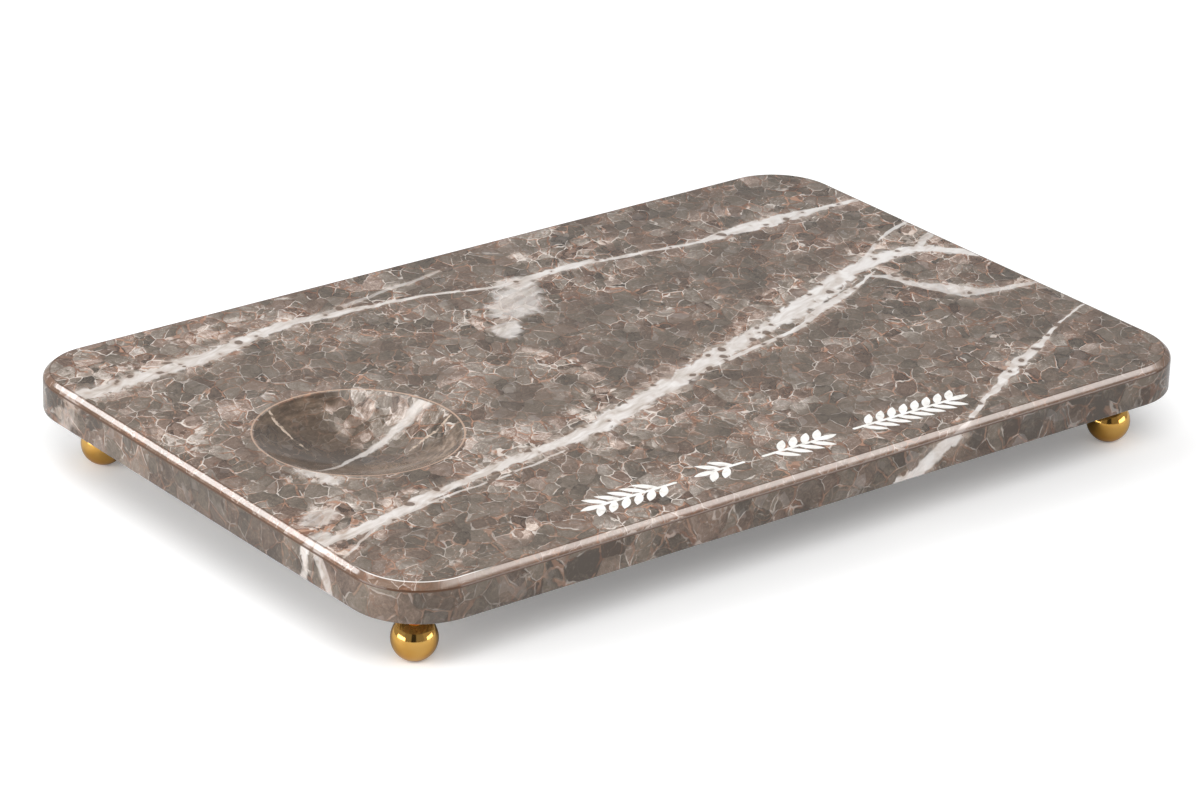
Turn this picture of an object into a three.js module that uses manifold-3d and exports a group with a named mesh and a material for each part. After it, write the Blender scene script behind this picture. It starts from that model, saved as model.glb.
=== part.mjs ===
// Challah board: a polished marble slab with a round salt dip, four wheat sprigs inlaid
// in white along its front edge, and four brass ball feet.
// Millimetres, +Z up. The origin is on the table, under the middle of the slab.
// +X runs along the front long edge, and the front is -Y.

import * as THREE from 'three';
import { mergeVertices } from 'three/addons/utils/BufferGeometryUtils.js';
import Module from 'manifold-3d';

const wasm = await Module();
wasm.setup();

// Slab
const slabLength = 400;
const slabWidth = 262;
const slabThickness = 16;
const slabCornerRadius = 29;
const topEdgeRadius = 2;
const bottomEdgeRadius = 1;

// Salt dip, a shallow spherical bowl near the left short edge
const dipRadius = 41;
const dipDepth = 8.5;
const dipFromLeftEdge = 73;
const dipFromFrontEdge = 129;

// Feet, each turned from one brass bar: pad, ball, neck and collar
const footInset = 25; // from each foot's axis to both slab edges
const footBallRadius = 9;
const footPadRadius = 2.5; // the flat that it stands on
const footNeckWall = 1.7; // round the stud's bore
const footNeckLength = 5.56; // brings the slab's underside to 25 above the table
const footCollarWidth = 2; // beyond the neck
const footCollarHeight = 2;
const footCollarRounding = 0.5;

// Washers between the collars and the stone
const washerThickness = 1;

// Studs, which screw the feet to the inserts
const studRadius = 2.5;
const studLengthInFoot = 10;
const studShortOfInsert = 2; // from a stud's upper end to its insert's
const studChamfer = 0.5;

// Tapped inserts, bonded into blind holes in the stone
const insertWall = 1.2;
const insertLength = 10;
const insertGrooveDepth = 0.6; // the bond fills the grooves
const insertGrooveWidth = 1.2;
const insertGrooveFromEnd = 2; // from each end to the nearer groove

// Wheat sprigs, from left to right; the two on the left point left, the others right
const sprigLengths = { outer_left: 46, inner_left: 25, inner_right: 37.5, outer_right: 60 };
const sprigSpacing = 8.5;
const sprigRowCentre = -4; // the row's middle, along the front edge from the slab's middle
const sprigFromFrontEdge = 22.5;
const sprigDepth = 0.75;
const grainLength = 10.6;
const grainWidth = 3.4;
const grainAngle = THREE.MathUtils.degToRad(45);
const grainPitch = 6;
const stemWidth = 1.5;
const bareStemLength = 3.5;

// Clearances
const studGap = 0.3; // round a stud, in the foot, the washer and the insert
const studEndGap = 1; // past a stud's end, in the foot
const bondGap = 0.3; // round and above an insert
const sprigGap = 0.3; // round a sprig, in its pocket

// Facets
const cornerSteps = 10;
const topEdgeSteps = 3;
const bottomEdgeSteps = 2;
const dipSides = 48;
const dipSteps = 7;
const ballSteps = 10;
const collarSteps = 2;
const footSides = 24;
const washerSides = 24;
const studSides = 12;
const holeSides = 16;
const grainSteps = 4;
const stemEndSteps = 4;
const cutterOverrun = 1; // a cutter stands this far out of the face that it cuts
const weldDistance = 1e-4;

const materials = {
  marble: new THREE.MeshStandardMaterial({ color: 0x84786f, roughness: 0.12, metalness: 0 }),
  brass: new THREE.MeshStandardMaterial({ color: 0xd9a441, roughness: 0.12, metalness: 1 }),
  steel: new THREE.MeshStandardMaterial({ color: 0xb4b7ba, roughness: 0.35, metalness: 1 }),
  insertBrass: new THREE.MeshStandardMaterial({ color: 0xb8924a, roughness: 0.45, metalness: 1 }),
  nylon: new THREE.MeshStandardMaterial({ color: 0xe6e3dc, roughness: 0.55, metalness: 0 }),
  resin: new THREE.MeshStandardMaterial({ color: 0xf6f4f0, roughness: 0.35, metalness: 0 }),
};

const quarterTurn = Math.PI / 2;

// Sizes that follow from the ones above. Heights in the feet and their fastenings are
// counted from the slab's underside, so what lies below it is negative.
const boreRadius = studRadius + studGap;
const insertRadius = boreRadius + insertWall;
const footNeckRadius = boreRadius + footNeckWall;
const footCollarRadius = footNeckRadius + footCollarWidth;
const collarTop = -washerThickness;
const collarBase = collarTop - footCollarHeight;
const neckBase = collarBase - footNeckLength;
const ballCentre = neckBase - Math.sqrt(footBallRadius ** 2 - footNeckRadius ** 2);
const padHeight = ballCentre - Math.sqrt(footBallRadius ** 2 - footPadRadius ** 2);
const undersideHeight = -padHeight; // above the table
const pocketFloor = undersideHeight + slabThickness - sprigDepth;

// Points [radius, height] along an arc, both ends included
function arcPoints(centreRadius, centreHeight, radius, from, to, steps) {
  return Array.from({ length: steps + 1 }, (_, i) => {
    const angle = from + ((to - from) * i) / steps;
    return [centreRadius + radius * Math.cos(angle), centreHeight + radius * Math.sin(angle)];
  });
}

// A solid of revolution about Z. The profile of [radius, height] points runs anticlockwise,
// from the axis back to the axis or round to its own first point.
function turned(profile, sides) {
  const points = profile.map(([radius, height]) => new THREE.Vector2(radius, height));
  return new THREE.LatheGeometry(points, sides).rotateX(quarterTurn);
}

// Positions and triangles alone, with shared corners merged and triangles of no area dropped
function welded(geometry) {
  geometry.deleteAttribute('normal');
  geometry.deleteAttribute('uv');
  const merged = mergeVertices(geometry, weldDistance);
  const corners = Array.from(merged.index.array);
  const kept = [];
  for (let i = 0; i < corners.length; i += 3) {
    const [a, b, c] = corners.slice(i, i + 3);
    if (a !== b && b !== c && c !== a) kept.push(a, b, c);
  }
  merged.setIndex(kept);
  return merged;
}

function toSolid(geometry) {
  const closed = welded(geometry);
  return new wasm.Manifold(new wasm.Mesh({
    numProp: 3,
    vertProperties: new Float32Array(closed.attributes.position.array),
    triVerts: new Uint32Array(closed.index.array),
  }));
}

function toGeometry(solid) {
  const mesh = solid.getMesh();
  const geometry = new THREE.BufferGeometry();
  geometry.setAttribute('position', new THREE.BufferAttribute(mesh.vertProperties, 3));
  geometry.setIndex(new THREE.BufferAttribute(mesh.triVerts, 1));
  geometry.computeVertexNormals();
  return geometry;
}

// Marble slab

// The slab's outline drawn in by inset, at one height
function slabRing(inset, height) {
  const radius = slabCornerRadius - inset;
  const x = slabLength / 2 - slabCornerRadius;
  const y = slabWidth / 2 - slabCornerRadius;
  const corners = [[x, y], [-x, y], [-x, -y], [x, -y]];
  return corners.flatMap(([cx, cy], corner) => {
    const start = corner * quarterTurn;
    return arcPoints(cx, cy, radius, start, start + quarterTurn, cornerSteps)
      .map(([px, py]) => new THREE.Vector3(px, py, height));
  });
}

// [inset, height] of each ring, from the underside up to the top face
function slabLevels() {
  const bottomEdge = arcPoints(bottomEdgeRadius, bottomEdgeRadius, bottomEdgeRadius,
    3 * quarterTurn, 2 * quarterTurn, bottomEdgeSteps);
  const topEdge = arcPoints(topEdgeRadius, slabThickness - topEdgeRadius, topEdgeRadius,
    2 * quarterTurn, quarterTurn, topEdgeSteps);
  return [...bottomEdge, ...topEdge];
}

function slabBlank() {
  const rings = slabLevels().map(([inset, height]) => slabRing(inset, height));
  const count = rings[0].length;
  const triangles = [];
  for (let level = 0; level < rings.length - 1; level++) {
    for (let i = 0; i < count; i++) {
      const low = level * count + i;
      const lowNext = level * count + ((i + 1) % count);
      triangles.push(low, lowNext, lowNext + count, low, lowNext + count, low + count);
    }
  }
  const topStart = (rings.length - 1) * count;
  for (let i = 1; i < count - 1; i++) {
    triangles.push(0, i + 1, i);
    triangles.push(topStart, topStart + i, topStart + i + 1);
  }
  const geometry = new THREE.BufferGeometry().setFromPoints(rings.flat());
  geometry.setIndex(triangles);
  return geometry;
}

// The bowl's lower sphere, closed by a flat lid just above the slab's top
function dipCutter() {
  const sphereRadius = (dipRadius ** 2 + dipDepth ** 2) / (2 * dipDepth);
  const rimAngle = Math.asin(dipRadius / sphereRadius);
  const centreHeight = slabThickness - dipDepth + sphereRadius;
  const bowl = arcPoints(0, centreHeight, sphereRadius,
    -quarterTurn, -quarterTurn + rimAngle, dipSteps);
  const lidHeight = slabThickness + cutterOverrun;
  const cutter = turned([...bowl, [dipRadius, lidHeight], [0, lidHeight]], dipSides);
  return cutter.translate(dipFromLeftEdge - slabLength / 2, dipFromFrontEdge - slabWidth / 2, 0);
}

function insertHoleCutter(x, y) {
  const radius = insertRadius + bondGap;
  const depth = insertLength + bondGap;
  const profile = [[0, -cutterOverrun], [radius, -cutterOverrun], [radius, depth], [0, depth]];
  return turned(profile, holeSides).translate(x, y, 0);
}

function marbleSlab() {
  let solid = toSolid(slabBlank()).subtract(toSolid(dipCutter()));
  for (const { x, y } of feet) solid = solid.subtract(toSolid(insertHoleCutter(x, y)));
  for (const sprig of sprigs) {
    const pocket = sprigSolid(sprig.length, sprigGap, sprigDepth + cutterOverrun);
    const floor = slabThickness - sprigDepth;
    const placed = toGeometry(pocket).rotateZ(sprig.turn).translate(sprig.x, sprig.y, floor);
    solid = solid.subtract(toSolid(placed));
  }
  return toGeometry(solid);
}

// Wheat sprigs

// A pointed grain, two arcs wide, with its middle at the origin; grow widens it all round
function grainShape(grow) {
  const halfLength = grainLength / 2;
  const halfWidth = grainWidth / 2;
  const sideRadius = (halfLength ** 2 + halfWidth ** 2) / (2 * halfWidth);
  const centre = sideRadius - halfWidth;
  const radius = sideRadius + grow;
  const start = Math.asin(centre / radius);
  return new THREE.Shape()
    .absarc(0, -centre, radius, start, Math.PI - start, false)
    .absarc(0, centre, radius, Math.PI + start, 2 * Math.PI - start, false);
}

// A stem from x = 0 to its length, with round ends
function stemShape(length, grow) {
  const radius = stemWidth / 2 + grow;
  const inner = stemWidth / 2;
  return new THREE.Shape()
    .absarc(length - inner, 0, radius, -quarterTurn, quarterTurn, false)
    .absarc(inner, 0, radius, quarterTurn, 3 * quarterTurn, false);
}

function grainPlaces(length) {
  const places = [{ x: length - grainLength, angle: 0 }];
  for (const side of [1, -1]) {
    const stagger = side > 0 ? 0 : grainPitch / 2;
    for (let x = length - grainLength - stagger; x >= bareStemLength; x -= grainPitch) {
      places.push({ x, angle: side * grainAngle });
    }
  }
  return places;
}

// A sprig along +X from the origin, standing on z = 0
function sprigSolid(length, grow, height) {
  const settings = { depth: height, bevelEnabled: false };
  const stemLength = length - grainLength / 2;
  let solid = toSolid(new THREE.ExtrudeGeometry(stemShape(stemLength, grow),
    { ...settings, curveSegments: stemEndSteps }));
  for (const { x, angle } of grainPlaces(length)) {
    const grain = new THREE.ExtrudeGeometry(grainShape(grow), { ...settings, curveSegments: grainSteps })
      .translate(grainLength / 2, 0, 0)
      .rotateZ(angle)
      .translate(x, 0, 0);
    solid = solid.add(toSolid(grain));
  }
  return solid;
}

function sprigRow() {
  const entries = Object.entries(sprigLengths);
  const total = entries.reduce((sum, [, length]) => sum + length, 0)
    + sprigSpacing * (entries.length - 1);
  let left = sprigRowCentre - total / 2;
  return entries.map(([name, length], i) => {
    const pointsLeft = i < entries.length / 2;
    const sprig = {
      name,
      length,
      x: pointsLeft ? left + length : left,
      y: sprigFromFrontEdge - slabWidth / 2,
      turn: pointsLeft ? Math.PI : 0,
    };
    left += length + sprigSpacing;
    return sprig;
  });
}

// Feet and what fastens them, each about its own axis

function ballFoot() {
  const padAngle = -Math.acos(footPadRadius / footBallRadius);
  const neckAngle = Math.acos(footNeckRadius / footBallRadius);
  const ball = arcPoints(0, ballCentre, footBallRadius, padAngle, neckAngle, ballSteps);
  const roundingCentre = footCollarRadius - footCollarRounding;
  const lowerEdge = arcPoints(roundingCentre, collarBase + footCollarRounding, footCollarRounding,
    -quarterTurn, 0, collarSteps);
  const boreFloor = collarTop - studLengthInFoot - studEndGap;
  return turned([
    [0, padHeight],
    ...ball,
    [footNeckRadius, collarBase],
    ...lowerEdge,
    [footCollarRadius, collarTop],
    [boreRadius, collarTop],
    [boreRadius, boreFloor],
    [0, boreFloor],
  ], footSides);
}

function washer() {
  return turned([
    [boreRadius, collarTop],
    [footCollarRadius, collarTop],
    [footCollarRadius, 0],
    [boreRadius, 0],
    [boreRadius, collarTop],
  ], washerSides);
}

function stud() {
  const bottom = collarTop - studLengthInFoot;
  const top = insertLength - studShortOfInsert;
  const endRadius = studRadius - studChamfer;
  return turned([
    [0, bottom],
    [endRadius, bottom],
    [studRadius, bottom + studChamfer],
    [studRadius, top - studChamfer],
    [endRadius, top],
    [0, top],
  ], studSides);
}

function threadedInsert() {
  const grooveRadius = insertRadius - insertGrooveDepth;
  const grooveStarts = [insertGrooveFromEnd, insertLength - insertGrooveFromEnd - insertGrooveWidth];
  const grooves = grooveStarts.flatMap((low) => {
    const high = low + insertGrooveWidth;
    return [[insertRadius, low], [grooveRadius, low], [grooveRadius, high], [insertRadius, high]];
  });
  return turned([
    [boreRadius, 0],
    [insertRadius, 0],
    ...grooves,
    [insertRadius, insertLength],
    [boreRadius, insertLength],
    [boreRadius, 0],
  ], holeSides);
}

// The board

const footX = slabLength / 2 - footInset;
const footY = slabWidth / 2 - footInset;
const feet = [
  { corner: 'front_left', x: -footX, y: -footY },
  { corner: 'front_right', x: footX, y: -footY },
  { corner: 'back_left', x: -footX, y: footY },
  { corner: 'back_right', x: footX, y: footY },
];
const sprigs = sprigRow();

const board = new THREE.Group();

function place(name, geometry, material, x, y, z) {
  const mesh = new THREE.Mesh(geometry, material);
  mesh.name = name;
  mesh.position.set(x, y, z);
  board.add(mesh);
  return mesh;
}

place('marble_slab', marbleSlab(), materials.marble, 0, 0, undersideHeight);

for (const { name, length, x, y, turn } of sprigs) {
  const sprig = toGeometry(sprigSolid(length, 0, sprigDepth));
  place(`wheat_sprig_${name}`, sprig, materials.resin, x, y, pocketFloor).rotation.z = turn;
}

for (const { corner, x, y } of feet) {
  const seat = [x, y, undersideHeight];
  place(`ball_foot_${corner}`, welded(ballFoot()), materials.brass, ...seat);
  place(`foot_washer_${corner}`, welded(washer()), materials.nylon, ...seat);
  place(`foot_stud_${corner}`, welded(stud()), materials.steel, ...seat);
  place(`threaded_insert_${corner}`, welded(threadedInsert()), materials.insertBrass, ...seat);
}

export default board;
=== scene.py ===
"""A challah board: a polished brown marble slab with a salt dip, wheat sprigs inlaid in
white along its front edge, and brass ball feet, on a plain white table."""

import math

import bpy
from mathutils import Matrix, Vector
from mathutils.geometry import delaunay_2d_cdt


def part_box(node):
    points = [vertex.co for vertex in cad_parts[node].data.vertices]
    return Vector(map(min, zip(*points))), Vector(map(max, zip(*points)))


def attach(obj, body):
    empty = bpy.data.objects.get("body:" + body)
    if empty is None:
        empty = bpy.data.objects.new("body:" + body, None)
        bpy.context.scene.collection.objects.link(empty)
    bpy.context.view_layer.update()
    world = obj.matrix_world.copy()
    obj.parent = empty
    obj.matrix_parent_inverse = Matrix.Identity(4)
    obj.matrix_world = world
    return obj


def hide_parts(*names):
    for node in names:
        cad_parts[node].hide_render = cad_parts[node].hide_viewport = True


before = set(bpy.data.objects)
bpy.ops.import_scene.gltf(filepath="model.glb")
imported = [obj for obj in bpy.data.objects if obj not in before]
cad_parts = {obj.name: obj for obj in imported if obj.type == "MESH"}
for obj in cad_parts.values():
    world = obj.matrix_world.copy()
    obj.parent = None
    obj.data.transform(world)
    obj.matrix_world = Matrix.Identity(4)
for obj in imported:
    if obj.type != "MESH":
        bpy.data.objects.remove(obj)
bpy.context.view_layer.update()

MM = 0.001

# Sizes in metres. What the frame can tell is read from its boxes.
SLAB_LOW, SLAB_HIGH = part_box("marble_slab")
SLAB_TOP = SLAB_HIGH.z
UNDERSIDE = SLAB_LOW.z
CORNER_RADIUS = 29 * MM
BEVEL_INSET = 2.5 * MM
BEVEL_DROP = 2.1 * MM
BEVEL_TOP_RADIUS = 0.9 * MM
BEVEL_LOW_RADIUS = 2.8 * MM
BOTTOM_EDGE_RADIUS = 1 * MM

DIP_RADIUS = 41 * MM
DIP_DEPTH = 8.5 * MM
DIP_RIM_RADIUS = 0.8 * MM
DIP_X = SLAB_LOW.x + 73 * MM
DIP_Y = SLAB_LOW.y + 129 * MM

CORNERS = ("front_left", "front_right", "back_left", "back_right")
BALL_RADIUS = 9 * MM
PAD_RADIUS = 2.5 * MM
NECK_RADIUS = 4.5 * MM
NECK_FILLET = 0.8 * MM
COLLAR_RADIUS = 6.5 * MM
COLLAR_HEIGHT = 2 * MM
COLLAR_ROUNDING = 0.5 * MM
WASHER_THICKNESS = 1 * MM
BORE_RADIUS = 2.8 * MM
BORE_DEPTH = 11 * MM
HOLE_RADIUS = 4.3 * MM
HOLE_DEPTH = 10.3 * MM

# The sprigs from left to right, with the end that each points to
SPRIGS = {"outer_left": -1, "inner_left": -1, "inner_right": 1, "outer_right": 1}
SPRIG_DEPTH = 0.75 * MM
GRAIN_LENGTH = 10.6 * MM
GRAIN_WIDTH = 3.4 * MM
GRAIN_ANGLE = math.radians(45)
GRAIN_PITCH = 6 * MM
STEM_WIDTH = 1.5 * MM
BARE_STEM = 3.5 * MM
POCKET_GAP = 0.04 * MM

# Sides of the round forms
DIP_SIDES = 192
HOLE_SIDES = 48
FOOT_SIDES = 96
TABLE_SIDES = 96

# The camera, at the photograph's angle
CAMERA_AZIMUTH = math.radians(-38.58)
CAMERA_ELEVATION = math.radians(23.51)
CAMERA_ROLL = math.radians(1.72)
CAMERA_PLACE = Vector((-1.0912, -1.3595, 0.7805))
CAMERA_LENS = 141.5
SENSOR_WIDTH = 36

# The cards round the camera that mirrors show: their direction, half widths and levels, and
# the heights between which they give way to the wall, as the upward part of a direction
CARD_AZIMUTH = CAMERA_AZIMUTH
CARD_HALF = math.radians(50)
DARK_HALF = math.radians(12)
CARD_BLUR = math.radians(2)
WALL_GREY = 0.42
CARD_GREY = 0.28
CARD_DARK = 0.15
CARDS_END, WALLS_START = 0.75, 0.9

# The table: its radius, how far it lies below the feet, the white of its own near the board and
# far from it, the distances between which that grows, and how much of it mirrors show
TABLE_RADIUS = 4
TABLE_DROP = 0.2 * MM
TABLE_GLOW = 0.20
FAR_GLOW = 0.75
NEAR_REACH, FAR_REACH = 0.5, 1.4
MIRRORED_TABLE = 0.72


def srgb(code):
    """A colour written as six hex digits, as the linear values that shaders take."""
    parts = [int(code[i:i + 2], 16) / 255 for i in (0, 2, 4)]
    linear = [v / 12.92 if v <= 0.04045 else ((v + 0.055) / 1.055) ** 2.4 for v in parts]
    return (*linear, 1.0)


# Camera

def make_camera():
    back = Vector((
        math.sin(CAMERA_AZIMUTH) * math.cos(CAMERA_ELEVATION),
        -math.cos(CAMERA_AZIMUTH) * math.cos(CAMERA_ELEVATION),
        math.sin(CAMERA_ELEVATION),
    ))
    level = Vector((0, 0, 1)).cross(back).normalized()
    above = back.cross(level)
    right = level * math.cos(CAMERA_ROLL) + above * math.sin(CAMERA_ROLL)
    up = back.cross(right)
    camera = bpy.data.objects.new("camera", bpy.data.cameras.new("camera"))
    camera.data.lens = CAMERA_LENS
    camera.data.sensor_width = SENSOR_WIDTH
    camera.data.clip_start = 0.05
    turn = Matrix((right, up, back)).transposed().to_4x4()
    camera.matrix_world = Matrix.Translation(CAMERA_PLACE) @ turn
    bpy.context.scene.collection.objects.link(camera)
    bpy.context.scene.camera = camera


# Node graphs

class Graph:
    """A material's node tree, with a short method for each kind of node. Lengths are in
    millimetres on the object."""

    def __init__(self, name):
        self.material = bpy.data.materials.new(name)
        self.material.use_nodes = True
        self.tree = self.material.node_tree
        self.shader = self.tree.nodes["Principled BSDF"]

    @classmethod
    def over(cls, tree):
        """The same methods for the node tree of something else."""
        graph = cls.__new__(cls)
        graph.tree = tree
        return graph

    def feed(self, socket, value):
        """Links a node's output to the socket, or sets a number, a vector or a colour."""
        if isinstance(value, bpy.types.NodeSocket):
            self.tree.links.new(value, socket)
        else:
            socket.default_value = srgb(value) if isinstance(value, str) else value

    def add(self, kind, sockets=None, **settings):
        node = self.tree.nodes.new(kind)
        for name, value in settings.items():
            setattr(node, name, value)
        for name, value in (sockets or {}).items():
            self.feed(node.inputs[name], value)
        return node

    def surface(self, **values):
        """Values for the shader's own sockets, underscores for spaces."""
        for name, value in values.items():
            self.feed(self.shader.inputs[name.replace("_", " ")], value)

    def maths(self, operation, *values):
        node = self.add("ShaderNodeMath", operation=operation)
        for socket, value in zip(node.inputs, values):
            self.feed(socket, value)
        return node.outputs[0]

    def times(self, first, second):
        return self.maths("MULTIPLY", first, second)

    def plus(self, first, second):
        return self.maths("ADD", first, second)

    def minus(self, first, second):
        return self.maths("SUBTRACT", first, second)

    def most(self, first, second):
        return self.maths("MAXIMUM", first, second)

    def least(self, first, second):
        return self.maths("MINIMUM", first, second)

    def vector(self, operation, *values):
        node = self.add("ShaderNodeVectorMath", operation=operation)
        for socket, value in zip(node.inputs, values):
            self.feed(socket, value)
        single = operation in ("LENGTH", "DOT_PRODUCT")
        return node.outputs["Value" if single else "Vector"]

    def scaled(self, vector, factor):
        node = self.add("ShaderNodeVectorMath", {0: vector, "Scale": factor}, operation="SCALE")
        return node.outputs["Vector"]

    def rotated(self, vector, angle):
        """The vector turned about the vertical."""
        node = self.add("ShaderNodeVectorRotate", {"Vector": vector, "Angle": angle},
                        rotation_type="Z_AXIS")
        return node.outputs[0]

    def place(self):
        """Object coordinates in millimetres."""
        coordinates = self.add("ShaderNodeTexCoord").outputs["Object"]
        return self.scaled(coordinates, 1 / MM)

    def axes(self, vector):
        return self.add("ShaderNodeSeparateXYZ", {0: vector}).outputs

    def joined(self, x, y, z):
        return self.add("ShaderNodeCombineXYZ", {"X": x, "Y": y, "Z": z}).outputs[0]

    def noise(self, vector, period, detail=2.0, roughness=0.5, distortion=0.0, output="Fac"):
        node = self.add("ShaderNodeTexNoise", {
            "Vector": vector, "Scale": 1 / period, "Detail": detail,
            "Roughness": roughness, "Distortion": distortion})
        return node.outputs[output]

    def cells(self, vector, size):
        """Fragments of that size: a random colour for each, and the distance from its middle."""
        node = self.add("ShaderNodeTexVoronoi", feature="F1")
        self.feed(node.inputs["Vector"], vector)
        self.feed(node.inputs["Scale"], 1 / size)
        return node.outputs["Color"], node.outputs["Distance"]

    def edge(self, vector, size):
        """The distance to the nearest border between fragments, in millimetres."""
        node = self.add("ShaderNodeTexVoronoi", feature="DISTANCE_TO_EDGE")
        self.feed(node.inputs["Vector"], vector)
        self.feed(node.inputs["Scale"], 1 / size)
        return self.times(node.outputs["Distance"], size)

    def step(self, value, low, high, start=0.0, end=1.0):
        """A soft step from start at low to end at high."""
        node = self.add("ShaderNodeMapRange", {
            "Value": value, "From Min": low, "From Max": high, "To Min": start, "To Max": end},
            interpolation_type="SMOOTHSTEP")
        return node.outputs["Result"]

    def between(self, value, low, high, start, end):
        """A straight ramp, held at its ends."""
        node = self.add("ShaderNodeMapRange", {
            "Value": value, "From Min": low, "From Max": high, "To Min": start, "To Max": end})
        return node.outputs["Result"]

    def warped(self, vector, period, reach, detail=1.0):
        """The vector pushed about by a noise of that period, by up to about half the reach."""
        push = self.noise(vector, period, detail, output="Color")
        centred = self.vector("SUBTRACT", push, (0.5, 0.5, 0.5))
        return self.vector("ADD", vector, self.scaled(centred, reach))

    def mixed(self, factor, first, second, blend="MIX"):
        node = self.add("ShaderNodeMix", data_type="RGBA", blend_type=blend)
        self.feed(node.inputs["Factor"], factor)
        self.feed(node.inputs[6], first)
        self.feed(node.inputs[7], second)
        return node.outputs[2]

    def blend(self, factor, first, second):
        """From the first number to the second, by a factor from 0 to 1."""
        node = self.add("ShaderNodeMix", {0: factor, 2: first, 3: second}, data_type="FLOAT")
        return node.outputs[0]

    def ramp(self, value, stops):
        """Colours at positions from 0 to 1."""
        node = self.add("ShaderNodeValToRGB", {"Fac": value})
        elements = node.color_ramp.elements
        while len(elements) < len(stops):
            elements.new(0.5)
        for element, (position, colour) in zip(elements, stops):
            element.position = position
            element.color = srgb(colour)
        return node.outputs["Color"]

    def curve(self, value, points, low, high):
        """The height, from low to high, of a smooth line through points, at value."""
        first, last = points[0][0], points[-1][0]
        share = self.between(value, first, last, 0.0, 1.0)
        node = self.add("ShaderNodeFloatCurve", {"Value": share})
        line = node.mapping.curves[0]
        while len(line.points) < len(points):
            line.points.new(0.5, 0.5)
        for point, (x, y) in zip(line.points, points):
            point.location = ((x - first) / (last - first), (y - low) / (high - low))
        node.mapping.use_clip = False
        node.mapping.update()
        return self.between(node.outputs["Value"], 0.0, 1.0, low, high)

    def bump(self, height, distance):
        """Bump from a height of 0 to 1 that stands for that many millimetres."""
        node = self.add("ShaderNodeBump", {"Height": height, "Distance": distance * MM, "Strength": 1.0})
        self.feed(self.shader.inputs["Normal"], node.outputs["Normal"])


# Marble

# The veins, as points (x, y) along the middle and (x, half width) across, in millimetres
# from the slab's middle. All run roughly along X.
VEIN_BACK = [
    (-215, 88), (-180, 88.3), (-157, 90.3), (-137, 91.7), (-120, 95), (-103, 100.3), (-85, 101.7),
    (-66, 100), (-47, 98.3), (-27, 95.3), (-13, 91.7), (13, 86.3), (30, 87.7), (47, 87.7),
    (77, 83.3), (97, 80.3), (113, 79), (133, 80.3), (167, 80.3), (215, 78)]
VEIN_BACK_HALF = [
    (-215, 4.5), (-180, 4.2), (-150, 4.8), (-130, 4.2), (-110, 3.4), (-85, 2.8), (-60, 1.9),
    (-40, 1.2), (-13, 1.0), (13, 1.3), (30, 2.4), (47, 2.4), (63, 1.4), (97, 1.2), (113, 2.2),
    (133, 3.4), (150, 4.2), (167, 3.4), (183, 1.7), (215, 1.2)]
VEIN_MAIN = [
    (-215, -79), (-195, -77.5), (-177, -75), (-165, -72), (-140, -66), (-120, -62), (-80, -56),
    (-47, -50.5), (-30, -45), (-13, -39), (3, -33), (20, -27), (37, -21), (53, -16), (70, -10.5),
    (103, 0.5), (120, 9), (137, 16), (153, 20.3), (170, 21.7), (180, 20), (188, 15), (200, 0),
    (215, -18)]
VEIN_MAIN_HALF = [
    (-215, 2.6), (-180, 2.6), (-140, 2.8), (-100, 2.4), (-63, 3.6), (-30, 5.2), (3, 5.0), (20, 5.0),
    (53, 4.2), (87, 4.9), (103, 6.0), (120, 5.8), (137, 4.9), (153, 4.6), (170, 4.3), (183, 3.0),
    (191, 4.2), (215, 3)]
VEIN_BRANCH = [
    (-5, -37), (17, -30.5), (33, -27.7), (53, -24), (70, -20.7), (83, -17.3), (93, -12.3),
    (110, -5), (127, 1), (140, 7), (155, 16)]
VEIN_BRANCH_HALF = [
    (-5, 0), (10, 0.8), (53, 1.2), (83, 1.5), (98, 2.0), (110, 2.6), (122, 2.2), (132, 1.2),
    (140, 0.9), (155, 0)]
VEIN_LOWER = [
    (-215, -100), (-190, -88), (-176, -79), (-150, -71.5), (-130, -69.5), (-108, -67.5), (-80, -63),
    (-60, -58)]
VEIN_LOWER_HALF = [(-215, 0), (-190, 0.6), (-170, 1.0), (-130, 0.7), (-100, 0.6), (-80, 0.6), (-60, 0)]
VEIN_RIGHT = [(140, 10), (150, 0), (153, -8), (159, -19), (168, -28), (185, -34), (215, -37)]
VEIN_RIGHT_HALF = [
    (140, 0), (149, 4), (155, 8), (161, 7.5), (168, 4.5), (176, 2.4), (188, 1.3), (215, 1.4)]
VEIN_FORK = [(140, 20), (155, 25), (160, 27.7), (172, 36.8), (185, 42.7), (197, 46.8), (215, 54)]
VEIN_FORK_HALF = [(140, 0), (152, 0.9), (160, 1.1), (172, 0.7), (185, 1.0), (215, 0.9)]
VEIN_TWIG = [(170, 18), (182, 22), (190, 28), (198, 31), (215, 36)]
VEIN_TWIG_HALF = [(170, 0), (180, 1.2), (188, 2.0), (215, 1.6)]
VEIN_FAINT = [(-110, 100), (-90, 101.5), (-60, 104.5), (-35, 109), (-10, 113), (10, 119)]
VEIN_FAINT_HALF = [(-110, 0), (-85, 0.9), (-60, 1.4), (-35, 1.2), (-10, 0.8), (10, 0)]
VEIN_FRONT = [
    (-215, -297), (30, -154.7), (80, -125.7), (93, -117.3), (110, -108.3), (123, -100.7),
    (140, -92.3), (153, -85.7), (167, -77.3), (182, -70.7), (215, -60)]
VEIN_FRONT_HALF = [
    (-215, 0), (20, 0), (35, 1.4), (80, 1.1), (93, 1.2), (110, 2.2), (123, 3.0), (140, 2.8),
    (153, 1.8), (167, 0.9), (182, 0.6), (215, 0.6)]
VEIN_DIP = [
    (-165, -20), (-153, -17), (-144, -13.2), (-134, -7.9), (-122, -3.6), (-113, -0.6), (-106, 2.6),
    (-98, 5.2), (-92, 7), (-86, 8.3), (-80, 9)]
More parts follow.
